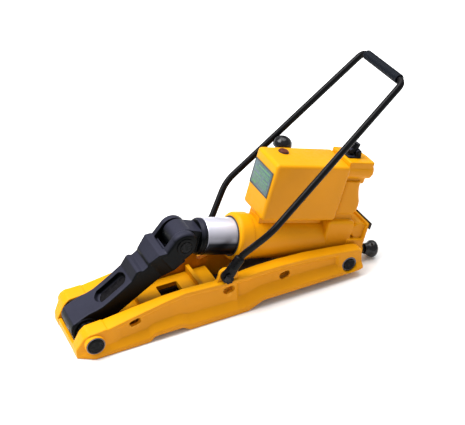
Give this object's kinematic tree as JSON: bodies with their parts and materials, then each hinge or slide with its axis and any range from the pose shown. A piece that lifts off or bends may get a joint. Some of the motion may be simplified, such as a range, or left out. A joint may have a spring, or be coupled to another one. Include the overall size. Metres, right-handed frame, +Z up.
{
  "type": "hydraulic rail-track jack",
  "caption": "Low hydraulic jack with a trough-shaped steel base, a stepped hinged lifting arm, an inclined cylinder with oil tank and hand pump, and a folding carrying handle.",
  "frame": {"origin": "centre of the base's sole, midway between its ends and its side walls", "axes": "+X runs along the base from the lifting arm's hinge to the pump end, +Y to the side with the breather, +Z up from the sole"},
  "size_m": [0.803, 0.2466, 0.4937],
  "materials": {
    "yellow_paint": "gloss",
    "black_enamel": "satin",
    "hard_chrome": "polished",
    "blackened_steel": "blackened",
    "bronze": "machined",
    "seal_rubber": "matt",
    "grip_rubber": "ribbed, matt",
    "knob_plastic": "gloss",
    "plug_brown": "matt",
    "name_plate": "printed, satin"
  },
  "bodies": {
    "base": {"side_wall_near": "yellow_paint", "side_wall_far": "yellow_paint", "trough_floor": "yellow_paint", "front_bar": "yellow_paint", "rear_bar": "yellow_paint", "front_pin": "blackened_steel", "front_pin_ring_near": "blackened_steel", "front_pin_ring_far": "blackened_steel", "arm_spacer_near": "blackened_steel", "arm_spacer_far": "blackened_steel", "tail_pin": "blackened_steel", "tail_pin_ring_near": "blackened_steel", "tail_pin_ring_far": "blackened_steel", "handle_bolt_near": "blackened_steel", "handle_bolt_far": "blackened_steel", "handle_nut_near": "blackened_steel", "handle_nut_far": "blackened_steel"},
    "arm": {"lifting_arm": "black_enamel", "arm_bush": "bronze", "fork_pin": "blackened_steel", "fork_pin_ring_near": "blackened_steel", "fork_pin_ring_far": "blackened_steel"},
    "cylinder": {"cylinder_barrel": "yellow_paint", "cylinder_collar": "yellow_paint", "rod_seal": "seal_rubber", "wiper_ring": "seal_rubber", "pump_block": "yellow_paint", "tail_bush": "bronze", "barrel_cap": "yellow_paint", "flange_gasket": "seal_rubber", "rocker_bracket": "black_enamel", "rocker_pin": "blackened_steel", "packing_nut": "blackened_steel", "oil_tank": "yellow_paint", "tank_floor": "yellow_paint", "tank_saddle": "yellow_paint", "name_plate": "name_plate", "filler_washer": "seal_rubber", "filler_plug": "plug_brown", "side_plug": "yellow_paint"},
    "plunger": {"plunger": "hard_chrome", "plunger_head": "black_enamel"},
    "pump_piston": {"pump_piston": "blackened_steel"},
    "rocker": {"pump_rocker": "black_enamel"},
    "release_valve": {"release_knob": "knob_plastic", "release_spindle": "blackened_steel"},
    "breather": {"breather_cap": "knob_plastic"},
    "handle": {"handle_rod": "black_enamel", "handle_eye_near": "black_enamel", "handle_eye_far": "black_enamel", "handle_grip": "grip_rubber"}
  },
  "joints": [
    {"name": "arm_hinge", "type": "hinge", "parent": "base", "child": "arm", "pos_m": [-0.313, 0, 0.036], "axis": [0, -1, 0], "range_deg": [-20, 0]},
    {"name": "cylinder_tilt", "type": "hinge", "parent": "base", "child": "cylinder", "pos_m": [0.317, 0, 0.038], "axis": [0, 1, 0], "range_deg": [-11.8, 0.2]},
    {"name": "plunger_slide", "type": "slide", "parent": "cylinder", "child": "plunger", "axis": [-0.9546, 0, 0.298], "range_m": [-0.0582, 0.0004]},
    {"name": "handle_fold", "type": "hinge", "parent": "base", "child": "handle", "pos_m": [0.007, 0, 0.103], "axis": [0, -1, 0], "range_deg": [0, 85]},
    {"name": "rocker_swing", "type": "hinge", "parent": "cylinder", "child": "rocker", "pos_m": [0.37793, 0, 0.2835], "axis": [0, 1, 0], "range_deg": [-9, 12]},
    {"name": "pump_stroke", "type": "slide", "parent": "cylinder", "child": "pump_piston", "axis": [0.298, 0, 0.9546], "range_m": [-0.00245, 0.00327]},
    {"name": "release_turn", "type": "hinge", "parent": "cylinder", "child": "release_valve", "pos_m": [0.32028, -0.04, 0.0485], "axis": [0.9546, 0, -0.298], "range_deg": [0, 360]},
    {"name": "breather_turn", "type": "hinge", "parent": "cylinder", "child": "breather", "pos_m": [0.22333, 0.072, 0.29667], "axis": [0.298, 0, 0.9546], "range_deg": [0, 360]}
  ],
  "couplings": [
    {"joint": "cylinder_tilt", "follows": "arm_hinge", "ratio": 0.58045},
    {"joint": "plunger_slide", "follows": "arm_hinge", "m_per_rad": 0.16539},
    {"joint": "pump_stroke", "follows": "rocker_swing", "m_per_rad": 0.0155}
  ]
}
